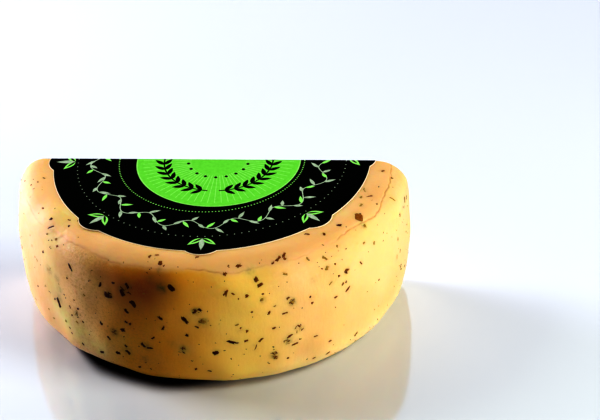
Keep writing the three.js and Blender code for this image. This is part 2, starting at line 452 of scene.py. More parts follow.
def relief(bearing, along):
    """How far the rind stands out from the plain wheel."""
    round_way = bearing * WHEEL_RADIUS
    above_fold = along - fold_along(bearing)
    strength = fold_strength(bearing)
    groove = FOLD_DEPTH * np.exp(-(above_fold / FOLD_WIDTH) ** 2)
    inside = smoothstep(0, EVEN_AT_FOOT, along) * smoothstep(0, EVEN_AT_TOP, STRIP - along)
    uneven = SWELL * waves(round_way, along, SWELL_LENGTHS, 14, SEED + 3) - dimples(round_way, along)
    leathery = WRINKLE * (1 + smoothstep(*WRINKLE_BEARINGS, bearing))
    uneven = uneven + leathery * waves(round_way, along, WRINKLE_LENGTHS, 24, SEED + 13)
    return fold_roll(bearing, above_fold) - strength * groove + inside * uneven


def rind_points(bearing, along, lift=0.0):
    """Points on the rind, or lifted from it along its normal."""
    push = relief(bearing, along) + lift
    radius = np.interp(along, ALONG, PROFILE_RADIUS) * out_of_round(bearing)
    radius = radius + push * np.interp(along, ALONG, NORMAL_R)
    z = np.interp(along, ALONG, PROFILE_HEIGHT) + push * np.interp(along, ALONG, NORMAL_Z)
    x = radius * np.sin(bearing) + LEAN * (z - WHEEL_HEIGHT / 2)
    return np.stack([x, -radius * np.cos(bearing), z], axis=-1)


def rind_place(point):
    """Bearing and distance along the strip of a point on the rind."""
    x = point[0] - LEAN * (point[2] - WHEEL_HEIGHT / 2)
    bearing = math.atan2(x, -point[1])
    radius = math.hypot(x, point[1]) / out_of_round(bearing)
    nearest = np.argmin((PROFILE_RADIUS - radius) ** 2 + (PROFILE_HEIGHT - point[2]) ** 2)
    return bearing, ALONG[nearest]


# The cheese's body: rind, cut face, top and underside in one closed skin

def strip_rows():
    fine_from = FOLD_ALONG - FINE_ROWS_BELOW_FOLD
    coarse = np.linspace(0, fine_from, int(fine_from / ROW_STEP))
    fine = np.linspace(fine_from, STRIP, int((STRIP - fine_from) / SHOULDER_ROW_STEP))
    return np.concatenate([coarse, fine[1:]])


def cut_bearing(along):
    """Bearing, past a right angle, at which each row of the rind meets the knife's plane."""
    ends = []
    for side in (-1, 1):
        bearing = np.full(along.shape, side * math.pi / 2)
        for _ in range(4):
            radius = np.interp(along, ALONG, PROFILE_RADIUS) * out_of_round(bearing)
            bearing = side * (math.pi / 2 + np.arcsin(CUT_BEHIND_AXIS / radius))
        ends.append(bearing)
    return ends


def cut_points(left, right):
    """The cut face's inner columns, from its right edge to its left edge."""
    share = (np.arange(CUT_COLUMNS) + 1) / (CUT_COLUMNS + 1)
    across = right[:, None, :] + (left - right)[:, None, :] * share[None, :, None]
    x, z = across[..., 0], across[..., 2]
    edge = smoothstep(0, KNIFE_EASE_ACROSS, share) * smoothstep(0, KNIFE_EASE_ACROSS, 1 - share)
    level = z / WHEEL_HEIGHT
    edge = edge[None, :] * smoothstep(0, KNIFE_EASE_UP, level) * smoothstep(0, KNIFE_EASE_UP, 1 - level)
    waver = KNIFE_WAVER * (1 + waves(x, z, KNIFE_LENGTHS, 10, SEED + 4))
    across[..., 1] = CUT_BEHIND_AXIS - edge * waver
    return across


def body_skin():
    """Rings of vertices round the body, and what is needed to paint it."""
    rows = strip_rows()
    left, right = cut_bearing(rows)
    share = np.linspace(0, 1, RIND_COLUMNS)
    bearing = left[:, None] + (right - left)[:, None] * share
    along = np.repeat(rows[:, None], RIND_COLUMNS, axis=1)
    rind = rind_points(bearing, along)
    rind[:, [0, -1], 1] = CUT_BEHIND_AXIS
    rind[0, :, 2] = 0
    rind[-1, :, 2] = WHEEL_HEIGHT
    cut = cut_points(rind[:, 0], rind[:, -1])
    band = np.concatenate([rind, cut], axis=1)

    centre = np.array([*CAP_CENTRE, 0.0])
    floor = [centre + (band[0] - centre) * size for size in reversed(CAP_RINGS)]
    centre = np.array([*CAP_CENTRE, WHEEL_HEIGHT])
    top = [centre + (band[-1] - centre) * size for size in CAP_RINGS]
    rings = np.concatenate([np.array(floor), band, np.array(top)])
    first = len(floor)
    return {"rings": rings, "bearing": bearing, "along": along, "first": first, "last": first + len(rows)}


def skin_faces(skin):
    """Quads round the rings, with a fan at each pole, and whether each face is on the cut."""
    count, columns = skin["rings"].shape[:2]
    row, column = np.meshgrid(np.arange(count - 1), np.arange(columns), indexing="ij")
    after = (column + 1) % columns
    low, high = row * columns, (row + 1) * columns
    quads = np.stack([low + column, low + after, high + after, high + column], axis=-1)
    in_strip = (row >= skin["first"]) & (row < skin["last"] - 1)
    on_cut = in_strip & (column >= RIND_COLUMNS - 1)
    faces = quads.reshape(-1, 4).tolist()
    paint = on_cut.reshape(-1).astype(int).tolist()
    floor_pole, top_pole = count * columns, count * columns + 1
    top_row = (count - 1) * columns
    for i in range(columns):
        j = (i + 1) % columns
        faces.append([floor_pole, j, i])
        faces.append([top_pole, top_row + i, top_row + j])
        paint += [0, 0]
    return faces, paint


def skin_vertices(skin):
    poles = np.array([[*CAP_CENTRE, 0.0], [*CAP_CENTRE, WHEEL_HEIGHT]])
    return np.concatenate([skin["rings"].reshape(-1, 3), poles])


def place_axis(points):
    """Where the wheel's axis stands in the part's frame, in millimetres."""
    low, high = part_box("cheese")
    x = (low.x + high.x) / 2 / MM - (points[:, 0].min() + points[:, 0].max()) / 2
    return np.array([x, high.y / MM - CUT_BEHIND_AXIS, 0.0])


def add_object(name, data):
    new = bpy.data.objects.new(name, data)
    bpy.context.scene.collection.objects.link(new)
    return new


def make_mesh(name, points, faces, materials, paint=None, smooth=True):
    mesh = bpy.data.meshes.new(name)
    mesh.from_pydata(((points + AXIS) * MM).tolist(), [], faces)
    for material in materials:
        mesh.materials.append(material)
    if paint is not None:
        mesh.polygons.foreach_set("material_index", paint)
    mesh.polygons.foreach_set("use_smooth", [smooth] * len(faces))
    mesh.update()
    return add_object(name, mesh)


def add_attribute(piece, name, values):
    piece.data.attributes.new(name, "FLOAT", "POINT").data.foreach_set("value", values)


# The camera

def camera_axes():
    bearing, pitch = -CAMERA_BEARING, CAMERA_PITCH
    level_ahead = Vector((math.sin(bearing), math.cos(bearing), 0))
    ahead = math.cos(pitch) * level_ahead - math.sin(pitch) * Vector((0, 0, 1))
    level = Vector((math.cos(bearing), -math.sin(bearing), 0))
    upright = level.cross(ahead)
    roll = CAMERA_ROLL
    right = math.cos(roll) * level + math.sin(roll) * upright
    up = math.cos(roll) * upright - math.sin(roll) * level
    return right, up, ahead


def pixel_way(x, y):
    """The way from the camera, one unit deep, to a pixel of the photograph."""
    right, up, ahead = camera_axes()
    across = (x - IMAGE_CENTRE[0]) / FOCAL_PIXELS
    down = (y - IMAGE_CENTRE[1]) / FOCAL_PIXELS
    return ahead + across * right - down * up


def camera_place():
    """The camera's place from the wheel's axis, so that the axis's foot falls on its pixel."""
    return -CAMERA_DISTANCE * pixel_way(*AXIS_FOOT_PIXEL)


def make_camera():
    right, up, ahead = camera_axes()
    data = bpy.data.cameras.new("camera")
    data.sensor_width = SENSOR
    data.lens = FOCAL_PIXELS / IMAGE_WIDTH * SENSOR
    camera = add_object("camera", data)
    turn = Matrix((right, up, -ahead)).transposed().to_4x4()
    camera.matrix_world = Matrix.Translation((camera_place() + Vector(AXIS)) * MM) @ turn
    bpy.context.scene.camera = camera


def seen_at(tree, x, y):
    """Bearing and distance along the strip of the rind that shows at a pixel of the photograph."""
    return rind_place(tree.ray_cast(camera_place(), pixel_way(x, y).normalized())[0])


# Herbs

def herb_outline(rng, length, width):
    """A torn, roughly oblong outline round the origin."""
    turn = (np.arange(HERB_CORNERS) + rng.uniform(-0.3, 0.3, HERB_CORNERS)) * 2 * math.pi / HERB_CORNERS
    a, b = np.cos(turn), np.sin(turn)
    squared = (np.abs(a) ** HERB_SQUARENESS + np.abs(b) ** HERB_SQUARENESS) ** (-1 / HERB_SQUARENESS)
    tears = HERB_TEARS * min(1.0, (TORN_WIDTH / width) ** 2)
    ragged = 1 + tears * np.clip(rng.standard_normal(HERB_CORNERS), -1.8, 1.8)
    x = a * squared * ragged * length / 2
    y = b * squared * ragged * width / 2 + rng.uniform(-HERB_BEND, HERB_BEND) * x ** 2 / length
    return np.stack([x, y], axis=-1)


def herb_rings(outline):
    """Flat places and lifts of a bit's rings: its edge goes under the surface and its middle is proud."""
    places = [outline * size for size, _ in HERB_RINGS] + [np.zeros((1, 2))]
    lifts = [np.full(HERB_CORNERS, lift) for _, lift in HERB_RINGS] + [np.array([HERB_CROWN])]
    return np.concatenate(places), np.concatenate(lifts)


def herb_faces(start):
    n = HERB_CORNERS
    faces = [[start + i for i in reversed(range(n))]]
    for ring in (0, 1):
        for i in range(n):
            j = (i + 1) % n
            low, high = start + ring * n, start + (ring + 1) * n
            faces.append([low + i, low + j, high + j, high + i])
    for i in range(n):
        faces.append([start + 2 * n + i, start + 2 * n + (i + 1) % n, start + 3 * n])
    return faces


def turned(places, turn):
    c, s = math.cos(turn), math.sin(turn)
    return places @ np.array([[c, s], [-s, c]])


def on_rind(herb, places, lifts):
    bearing = herb["at"][0] + places[:, 0] / WHEEL_RADIUS
    return rind_points(bearing, herb["at"][1] + places[:, 1], lifts)


def on_cut(herb, places, lifts):
    x, z = herb["at"][0] + places[:, 0], herb["at"][1] + places[:, 1]
    return np.stack([x, CUT_BEHIND_AXIS + lifts - CUT_HERB_SINK, z], axis=-1)


def make_herbs(name, herbs, surface, mirrored, colours):
    rng = np.random.default_rng(SEED + 5)
    points, faces, paint = [], [], []
    for herb in herbs:
        places, lifts = herb_rings(herb_outline(rng, herb["length"], herb["width"]))
        new_faces = herb_faces(sum(map(len, points)))
        points.append(surface(herb, turned(places, herb["turn"]), lifts))
        faces += [face[::-1] for face in new_faces] if mirrored else new_faces
        paint += [herb["tone"]] * len(new_faces)
    return make_mesh(name, np.concatenate(points), faces, two_tone(herb_material, colours), paint)


def random_herb(rng, at, lengths, rarity=2.2, widths=(0.25, 0.7), slant=90, tones=(0.4, 0.4, 0.2)):
    """A bit whose long sizes are rare. Widths are shares of its length, and its slant is in degrees."""
    low, high = lengths
    length = low + (high - low) * rng.random() ** rarity
    width = max(HERB_LEAST_WIDTH, length * rng.uniform(*widths))
    tone = int(rng.choice((DARK, BROWN, OLIVE), p=tones))
    turn = math.radians(rng.uniform(-slant, slant))
    return {"at": at, "length": length, "width": width, "turn": turn, "tone": tone}


def bold_herbs(tree):
    herbs = []
    for tone, bits in enumerate((DARK_HERBS, BROWN_HERBS, OLIVE_HERBS, RUST_HERBS)):
        for x, y, length, width, turn in bits:
            at = seen_at(tree, x, y)
            turn = math.radians(turn)
            herbs.append({"at": at, "length": length, "width": width, "turn": turn, "tone": tone})
    return herbs


def tuft_herbs(tree):
    rng = np.random.default_rng(SEED + 9)
    herbs = []
    for x, y, radius in HERB_TUFTS:
        bearing, along = seen_at(tree, x, y)
        for _ in range(TUFT_BITS):
            aside, up = rng.normal(0, radius / 2, 2)
            at = (bearing + aside / WHEEL_RADIUS, along + up)
            herbs.append(random_herb(rng, at, TUFT_LENGTHS, 1.0, TUFT_WIDTHS, 90, TUFT_TONES))
    return herbs


def small_herbs(bold):
    """Specks all over the rind, clear of the bold bits."""
    rng = np.random.default_rng(SEED + 6)
    herbs = []
    while len(herbs) < SMALL_HERBS:
        at = (rng.uniform(-1, 1) * SMALL_HERB_REACH, rng.uniform(*SMALL_HERB_SHARES) * STRIP)
        apart = [math.hypot((at[0] - b["at"][0]) * WHEEL_RADIUS, at[1] - b["at"][1]) for b in bold]
        if min(apart) > SMALL_HERB_CLEARANCE:
            herbs.append(random_herb(rng, at, SMALL_HERB_LENGTHS))
    return herbs


def side_herbs():
    """Larger bits near the two ends of the rind, which the photograph shows edge-on."""
    rng = np.random.default_rng(SEED + 10)
    herbs = []
    for i in range(SIDE_HERBS):
        side = 1 if i % 2 else -1
        bearing = side * math.radians(rng.uniform(*SIDE_HERB_BEARINGS))
        at = (bearing, rng.uniform(*SIDE_HERB_SHARES) * STRIP)
        herbs.append(random_herb(rng, at, SIDE_HERB_LENGTHS, 1.0))
    return herbs


def scattered_cut_herbs():
    rng = np.random.default_rng(SEED + 7)
    herbs = []
    while len(herbs) < PASTE_HERBS:
        x = rng.uniform(-1, 1) * PASTE_HERB_REACH
        z = rng.uniform(PASTE_HERB_MARGIN, WHEEL_HEIGHT - PASTE_HERB_MARGIN)
        corner_in = max(0.0, abs(z - WHEEL_HEIGHT / 2) - (WHEEL_HEIGHT / 2 - TOP_ROUNDING))
        inset = TOP_ROUNDING - math.sqrt(max(0.0, TOP_ROUNDING ** 2 - corner_in ** 2))
        if abs(x) < WHEEL_RADIUS - PASTE_HERB_INSET - inset:
            herbs.append(random_herb(
                rng, (x, z), PASTE_HERB_LENGTHS, PASTE_HERB_RARITY, PASTE_HERB_WIDTHS, PASTE_HERB_SLANT
            ))
    return herbs


def stains_and_shade_over(spots, across, up):
    """How strongly spots of stain and of painted shade, each a place, a radius and a strength, cover flat
    places.
    """
    total = np.zeros(across.shape)
    for spot_across, spot_up, radius, strength in spots:
        away = (across - spot_across) ** 2 + (up - spot_up) ** 2
        total += strength * np.exp(-away / radius ** 2)
    return np.minimum(total, 1)


def rind_stains_and_shade(tree, stains):
    """Stains, and spots of painted shade, placed by pixel, laid on the rind's strip."""
    spots = []
    for x, y, radius, strength in stains:
        bearing, along = seen_at(tree, x, y)
        spots.append((bearing * WHEEL_RADIUS, along, radius, strength))
    return spots


def herb_halos(herbs):
    """The larger bits of herb stain the rind round them."""
    halos = []
    for herb in herbs:
        if herb["length"] > HALO_FROM:
            bearing, along = herb["at"]
            halos.append((bearing * WHEEL_RADIUS, along, HALO_REACH * herb["length"], HALO_STRENGTH))
    return halos


def cut_stains(herbs):
    """Broad faint hazes, and a stain round each bit of herb."""
    stains = []
    for herb in herbs:
        strength = CUT_STAIN * min(1.0, herb["length"] / CUT_STAIN_LENGTH)
        stains.append((*herb["at"], herb["length"], strength))
    return CUT_HAZES + stains


# Materials

def linear(red, green, blue):
    """Linear colour from 8-bit display values."""
    values = [v / 255 for v in (red, green, blue)]
    return [v / 12.92 if v <= 0.04045 else ((v + 0.055) / 1.055) ** 2.4 for v in values] + [1.0]


class Shader:
    """A material's node tree, with one short call for each kind of node."""

    def __init__(self, name):
        self.material = bpy.data.materials.new(name)
        self.material.use_nodes = True
        self.tree = self.material.node_tree
        self.bsdf = self.tree.nodes["Principled BSDF"]

    def node(self, kind, **settings):
        node = self.tree.nodes.new(kind)
        for key, value in settings.items():
            setattr(node, key, value)
        return node

    def put(self, socket, value):
        if isinstance(value, bpy.types.NodeSocket):
            self.tree.links.new(value, socket)
        else:
            socket.default_value = value

    def place(self, stretch=(1, 1, 1)):
        """Object coordinates in millimetres, stretched."""
        mapping = self.node("ShaderNodeMapping")
        self.put(mapping.inputs["Vector"], self.node("ShaderNodeTexCoord").outputs["Object"])
        mapping.inputs["Scale"].default_value = [s / MM for s in stretch]
        return mapping.outputs["Vector"]

    def noise(self, size, detail=3.0, rough=0.5, stretch=(1, 1, 1)):
        noise = self.node("ShaderNodeTexNoise")
        self.put(noise.inputs["Vector"], self.place(stretch))
        noise.inputs["Scale"].default_value = 1 / size
        noise.inputs["Detail"].default_value = detail
        noise.inputs["Roughness"].default_value = rough
        return noise.outputs["Fac"]

    def cells(self, size):
        """Distance to the nearest of many scattered points, in cell sizes."""
        cells = self.node("ShaderNodeTexVoronoi")
        self.put(cells.inputs["Vector"], self.place())
        cells.inputs["Scale"].default_value = 1 / size
        return cells.outputs["Distance"]

    def attribute(self, name):
        return self.node("ShaderNodeAttribute", attribute_name=name).outputs["Fac"]

    def ramp(self, value, low, high, to_low=0.0, to_high=1.0):
        ramp = self.node("ShaderNodeMapRange", interpolation_type="SMOOTHSTEP")
        self.put(ramp.inputs["Value"], value)
        for key, number in (("From Min", low), ("From Max", high), ("To Min", to_low), ("To Max", to_high)):
            ramp.inputs[key].default_value = number
        return ramp.outputs["Result"]

    def maths(self, operation, a, b):
        node = self.node("ShaderNodeMath", operation=operation)
        self.put(node.inputs[0], a)
        self.put(node.inputs[1], b)
        return node.outputs[0]

    def times(self, a, b):
        return self.maths("MULTIPLY", a, b)

    def plus(self, a, b):
        return self.maths("ADD", a, b)

    def mix(self, share, a, b):
        node = self.node("ShaderNodeMix", data_type="RGBA")
        self.put(node.inputs["Factor"], share)
        self.put(node.inputs["A"], a)
        self.put(node.inputs["B"], b)
        return next(s for s in node.outputs if s.type == "RGBA")

    def layer(self, under, over, name, patches, *levels):
        """A colour laid over another where a painted layer is strong, broken up by ramped noise."""
        share = self.times(self.attribute(name), self.ramp(patches, *levels))
        return self.mix(share, under, over)

    def bump(self, height, depth):
        bump = self.node("ShaderNodeBump")
        bump.inputs["Strength"].default_value = 1.0
        bump.inputs["Distance"].default_value = depth * MM
        self.put(bump.inputs["Height"], height)
        self.put(self.bsdf.inputs["Normal"], bump.outputs["Normal"])

    def finish(self, colour, roughness, **numbers):
        self.put(self.bsdf.inputs["Base Color"], colour)
        self.put(self.bsdf.inputs["Roughness"], roughness)
        for key, value in numbers.items():
            self.bsdf.inputs[key.replace("_", " ")].default_value = value
        return self.material


RIND_YELLOW = linear(238, 203, 147)
RIND_ORANGE = linear(238, 199, 138)
RIND_PEACH = linear(240, 198, 143)
RIND_HAZE = linear(234, 222, 148)
RIND_SMUDGE = linear(128, 110, 58)
# Painted shade tint: a warmer, less blue yellow across the front below the fold
RIND_SHADE_GOLD = linear(249, 212, 124)
# Painted shade: the amber of the dark front valley
RIND_SHADE_AMBER = linear(230, 168, 44)
# Painted shade: the brown of the darkest part of the front valley
RIND_SHADE_BROWN = linear(164, 88, 48)
# Partly the crack's own brown, partly painted shade in the fold's groove
RIND_CREASE_AND_SHADE = linear(190, 128, 62)
RIND_LEATHER = linear(188, 142, 62)
# Painted light: a paler yellow standing in for light thrown up from the floor
RIND_BOUNCE_LIGHT = linear(249, 220, 160)


def rind_material():
    shader = Shader("rind")
    broad = shader.ramp(shader.noise(46, 2.0), 0.38, 0.66)
    colour = shader.mix(broad, RIND_YELLOW, RIND_ORANGE)
    colour = shader.layer(colour, RIND_PEACH, "band", shader.noise(30, 2.0), 0.2, 0.6, 0.55, 1.0)
    # Painted shade tint: warmer, less blue yellow across the front
    colour = shader.mix(shader.attribute("shade_gold"), colour, RIND_SHADE_GOLD)
    # Painted shade: amber over the dark front valley
    colour = shader.layer(colour, RIND_SHADE_AMBER, "shade_amber", shader.noise(26, 2.0), 0.25, 0.7, 0.85, 1.0)
    # Painted shade: brown spots in the dark front valley
    colour = shader.layer(colour, RIND_SHADE_BROWN, "brown", shader.noise(9, 3.0), 0.25, 0.7, 0.85, 1.0)
    # Darker along the fold's groove: partly the crack's own brown, partly painted shade
    colour = shader.layer(colour, RIND_CREASE_AND_SHADE, "crease_and_shade", shader.noise(6, 2.0), 0.3, 0.6, 0.2, 0.7)
    # Painted light: paler yellow low on the right, for light thrown up from the floor
    colour = shader.mix(shader.attribute("foot"), colour, RIND_BOUNCE_LIGHT)
    pores = shader.noise(1.5, 4.0, 0.7)
    colour = shader.layer(colour, RIND_LEATHER, "leather", pores, 0.42, 0.7, 0.0, 0.45)
    colour = shader.layer(colour, RIND_HAZE, "haze", shader.noise(7, 4.0, 0.6), 0.35, 0.65, 0.5, 1.1)
    colour = shader.layer(colour, RIND_SMUDGE, "smudge", shader.noise(2, 3.0), 0.35, 0.65, 0.4, 1.0)
    grain = shader.noise(1.6, 4.0, 0.6)
    streaks = shader.noise(3.0, 3.0, 0.55, (1, 1, 0.12))
    grain = shader.times(grain, shader.ramp(shader.attribute("leather"), 0.0, 1.0, 0.5, 1.3))
    shader.bump(shader.plus(grain, shader.times(streaks, 0.5)), 0.24)
    roughness = shader.ramp(shader.noise(14, 3.0), 0.3, 0.7, 0.52, 0.64)
    return shader.finish(
        colour, roughness, Specular_IOR_Level=0.3, Subsurface_Weight=0.5, Subsurface_Scale=0.006,
        Subsurface_Radius=(1.0, 0.4, 0.1), Sheen_Weight=0.05, Sheen_Roughness=0.4
    )


PASTE_PALE = linear(236, 219, 166)
PASTE_WARM = linear(239, 214, 158)
PASTE_EDGE = linear(238, 200, 122)
PASTE_OLIVE = linear(208, 202, 142)
PASTE_CREAM = linear(244, 232, 200)


def paste_material():
    shader = Shader("paste")
    colour = shader.mix(shader.ramp(shader.noise(28, 3.0), 0.35, 0.65), PASTE_PALE, PASTE_WARM)
    colour = shader.mix(shader.ramp(shader.attribute("inward"), 2.0, 14.0, 0.7, 0.0), colour, PASTE_WARM)
    colour = shader.mix(shader.ramp(shader.attribute("inward"), 0.3, 3.0, 0.85, 0.0), colour, PASTE_EDGE)
    colour = shader.mix(shader.ramp(shader.cells(5), 0.05, 0.16, 0.7, 0.0), colour, PASTE_CREAM)
    colour = shader.mix(shader.attribute("haze"), colour, PASTE_OLIVE)
    crumbs = shader.plus(shader.noise(1.0, 4.0, 0.65), shader.times(shader.noise(6.0, 3.0), 0.8))
    shader.bump(crumbs, 0.14)
    return shader.finish(
        colour, 0.55, Specular_IOR_Level=0.35, Subsurface_Weight=0.15, Subsurface_Scale=0.004
    )


def herb_material(name, dark, light):
    shader = Shader(name)
    colour = shader.mix(shader.ramp(shader.noise(0.9, 3.0), 0.35, 0.7), dark, light)
    shader.bump(shader.noise(0.5, 3.0), 0.1)
    return shader.finish(colour, 0.6, Specular_IOR_Level=0.25)


HERB_COLOURS = {
    "herb_dark": ((64, 26, 6), (96, 42, 10)),
    "herb_brown": ((118, 68, 10), (162, 102, 22)),
    "herb_olive": ((158, 122, 46), (190, 152, 66)),
    "herb_rust": ((142, 90, 22), (174, 118, 38)),
}

# In the paste the same bits keep more of their green
CUT_HERB_COLOURS = {
    "cut_herb_dark": ((70, 56, 14), (108, 90, 28)),
    "cut_herb_brown": ((112, 92, 28), (146, 124, 46)),
    "cut_herb_olive": ((166, 152, 82), (192, 180, 110)),
}


def ink_material(name, colour, worn):
    """Printed paper: a little mottled, with a fibrous surface."""
    shader = Shader(name)
    mottle = shader.ramp(shader.noise(2.5, 4.0, 0.6), 0.35, 0.7)
    shader.bump(shader.noise(0.8, 4.0, 0.6), 0.03)
    return shader.finish(shader.mix(mottle, colour, worn), 0.7, Specular_IOR_Level=0.04)


INK_COLOURS = {
    "label_paper": ((252, 238, 214), (244, 228, 200)),
    "label_black": ((8, 13, 6), (15, 21, 12)),
    "label_green": ((140, 228, 96), (132, 222, 88)),
    "label_lime": ((172, 238, 140), (160, 230, 126)),
    "label_mist": ((196, 212, 190), (170, 190, 162)),
}
INKS = ("paper", "black", "green", "lime", "mist")


def two_tone(material, colours):
    """A material of one kind for each name and its pair of colours."""
    return [material(name, linear(*one), linear(*other)) for name, (one, other) in colours.items()]


# The label's print: closed outlines in the order in which they are laid down

def at_bearing(radius, bearing):
    return np.stack([radius * np.sin(bearing), -radius * np.cos(bearing)], axis=-1)


def arc(centre, radius, start, end, steps):
    turn = np.linspace(start, end, steps)
    return np.stack([centre[0] + radius * np.cos(turn), centre[1] + radius * np.sin(turn)], axis=-1)


def disc(centre, radius, steps=24):
    return arc(centre, radius, 0, 2 * math.pi, steps + 1)[:-1]


def label_outline(inset=0.0):
    """The disc with round lobes on its edge, drawn in by an inset."""
    chord = LABEL_RADIUS * math.cos(LOBE_HALF_ANGLE)
    half_width = LABEL_RADIUS * math.sin(LOBE_HALF_ANGLE)
    rise = LOBE_REACH - chord
    lobe_radius = (half_width ** 2 + rise ** 2) / (2 * rise)
    lobe_centre = LOBE_REACH - lobe_radius
    sweep = math.atan2(half_width, chord - lobe_centre)
    spacing = 2 * math.pi / LOBES
    parts = []
    for k in range(LOBES):
        a = k * spacing + LOBE_TURN - math.pi / 2
        centre = (lobe_centre * math.cos(a), lobe_centre * math.sin(a))
        parts.append(arc(centre, lobe_radius - inset, a - sweep, a + sweep, 17))
        start, end = a + LOBE_HALF_ANGLE, a + spacing - LOBE_HALF_ANGLE
        parts.append(arc((0, 0), LABEL_RADIUS - inset, start, end, 33)[1:-1])
    return np.concatenate(parts)


def leaf(foot, heading, length, width, steps=7):
    """A pointed leaf from its foot along a heading, which is a bearing."""
    t = np.linspace(0, 1, steps)
    half = width / 2 * np.sin(math.pi * t ** 0.8)
    along = at_bearing(1, heading)
    across = np.array([-along[1], along[0]])
    right = foot + np.outer(t * length, along) + np.outer(half, across)
    left = foot + np.outer(t * length, along) - np.outer(half, across)
    return np.concatenate([right, left[-2:0:-1]])


def stroke(points, width):
    """A line of a width along a row of points."""
    way = np.gradient(points, axis=0)
    way /= np.linalg.norm(way, axis=1)[:, None]
    across = np.stack([-way[:, 1], way[:, 0]], axis=-1) * width / 2
    return np.concatenate([points + across, (points - across)[::-1]])


def bearings(count, reach=96):
    return np.radians(np.linspace(-reach, reach, count))


def lobe_sprouts():
    """Two leaves and a bud in each lobe."""
    shapes = []
    for k in range(LOBES):
        a = k * 2 * math.pi / LOBES + LOBE_TURN
        foot = at_bearing(SPROUT_FOOT, a)
        for side in (-1, 1):
            shapes.append(("lime", leaf(foot, a + side * SPROUT_SPREAD, *SPROUT_LEAF)))
            shapes.append(("black", leaf(foot, a + side * SPROUT_SPREAD, *SPROUT_VEIN)))
        shapes.append(("mist", leaf(foot, a, *SPROUT_BUD)))
    return shapes


def vine():
    """A waving stem round the black ring, with leaves on both sides."""
    turn = bearings(241)
    radius = VINE_RADIUS + VINE_SWING * np.sin(turn * VINE_WAVES)
    stem = at_bearing(radius, turn)
    shapes = [("mist", stroke(stem, VINE_WIDTH))]
    for i, index in enumerate(range(4, 237, 5)):
        side = 1 if i % 2 else -1
        outward = turn[index] + (0 if side > 0 else math.pi)
        heading = outward + side * VINE_LEAF_TURN
        length = VINE_LEAF_LENGTHS[0 if i % 4 < 2 else 1]
        shapes.append(("mist" if i % 3 else "lime", leaf(stem[index], heading, length, VINE_LEAF_WIDTH)))
    return shapes


def beads():
    """Fine rings of dots along both edges of the black ring."""
    shapes = []
    for ink, ring in (("lime", INNER_BEADS), ("mist", OUTER_BEADS)):
        for a in bearings(ring["count"]):
            shapes.append((ink, disc(at_bearing(ring["radius"], a), ring["size"], 8)))
    return shapes


def sunburst():
    """Pale rays on the green disc."""
    shapes = []
    for a in bearings(RAYS, 100):
        ends = np.array([DISC_CENTRE + at_bearing(r, a) for r in RAY_ENDS])
        shapes.append(("lime", stroke(ends, RAY_WIDTH)))
    return shapes


def wreath():
    """Two dark branches on the green disc that meet at the front."""
    shapes = []
    for side in (-1, 1):
        turn = side * np.radians(np.linspace(*WREATH_ENDS, 48))
        stem = at_bearing(WREATH_RADIUS, turn) + DISC_CENTRE
        shapes.append(("black", stroke(stem, WREATH_WIDTH)))
        for index in range(3, 46, 5):
            for out in (-1, 1):
                heading = turn[index] + side * math.radians(90 - out * WREATH_LEAF_TURN)
                shapes.append(("black", leaf(stem[index], heading, *WREATH_LEAF)))
    for k in range(-4, 5):
        at = DISC_CENTRE + at_bearing(WREATH_DOTS_RADIUS, k * math.radians(20))
        shapes.append(("black", disc(at, WREATH_DOT, 12)))
    return shapes


def printed_shapes():
    shapes = [
        ("paper", label_outline()),
        ("black", label_outline(PAPER_EDGE)),
        ("lime", disc(DISC_CENTRE, DISC_RADIUS + DISC_RIM, 128)),
        ("green", disc(DISC_CENTRE, DISC_RADIUS, 128)),
    ]
    return shapes + sunburst() + wreath() + vine() + beads() + lobe_sprouts()


def cut_off(outline):
    """The part of an outline in front of the knife's plane."""
    kept = []
    for here, there in zip(outline, np.roll(outline, -1, axis=0)):
        inside, next_inside = here[1] <= CUT_BEHIND_AXIS, there[1] <= CUT_BEHIND_AXIS
        if inside:
            kept.append(here)
        if inside != next_inside:
            share = (CUT_BEHIND_AXIS - here[1]) / (there[1] - here[1])
            kept.append(here + share * (there - here))
    return kept


def signed_area(outline):
    x, y = np.transpose(outline)
    return np.sum(x * np.roll(y, -1) - y * np.roll(x, -1)) / 2


def label_print():
    """Flat triangles of the printed face and the ink of each."""
    points, outlines, inks = [], [], []
    for ink, outline in printed_shapes():
        kept = cut_off(outline)
        if len(kept) < 3:
            continue
        if signed_area(kept) < 0:
            kept.reverse()
        outlines.append(list(range(len(points), len(points) + len(kept))))
        points += [Vector(p) for p in kept]
        inks.append(INKS.index(ink))
    flat, _, faces, _, _, sources = delaunay_2d_cdt(points, [], outlines, 1, 1e-4, True)
    shown = [(face, inks[max(source)]) for face, source in zip(faces, sources) if source]
    return np.array([tuple(p) for p in flat]), [list(f) for f, _ in shown], [ink for _, ink in shown]


def rim_of(faces):
    """The outer edge of a patch of faces, in order."""
    edges = {(f[i], f[(i + 1) % len(f)]) for f in faces for i in range(len(f))}
    following = {a: b for a, b in edges if (b, a) not in edges}
    rim = [next(iter(sorted(following)))]
    while following[rim[-1]] != rim[0]:
        rim.append(following[rim[-1]])
    return rim


def make_label():
    flat, faces, paint = label_print()
    rim = rim_of(faces)
    count = len(flat)
    top = np.column_stack([flat, np.full(count, WHEEL_HEIGHT + LABEL_THICKNESS)])
    bottom = np.column_stack([flat[rim], np.full(len(rim), WHEEL_HEIGHT)])
    below = {vertex: count + i for i, vertex in enumerate(rim)}
    for here, there in zip(rim, rim[1:] + rim[:1]):
        faces.append([there, here, below[here], below[there]])
    faces.append([below[v] for v in reversed(rim)])
    paint += [INKS.index("paper")] * (len(rim) + 1)
    points = np.concatenate([top, bottom])
    return make_mesh("paper_label", points, faces, two_tone(ink_material, INK_COLOURS), paint, smooth=False)


# Painting the body

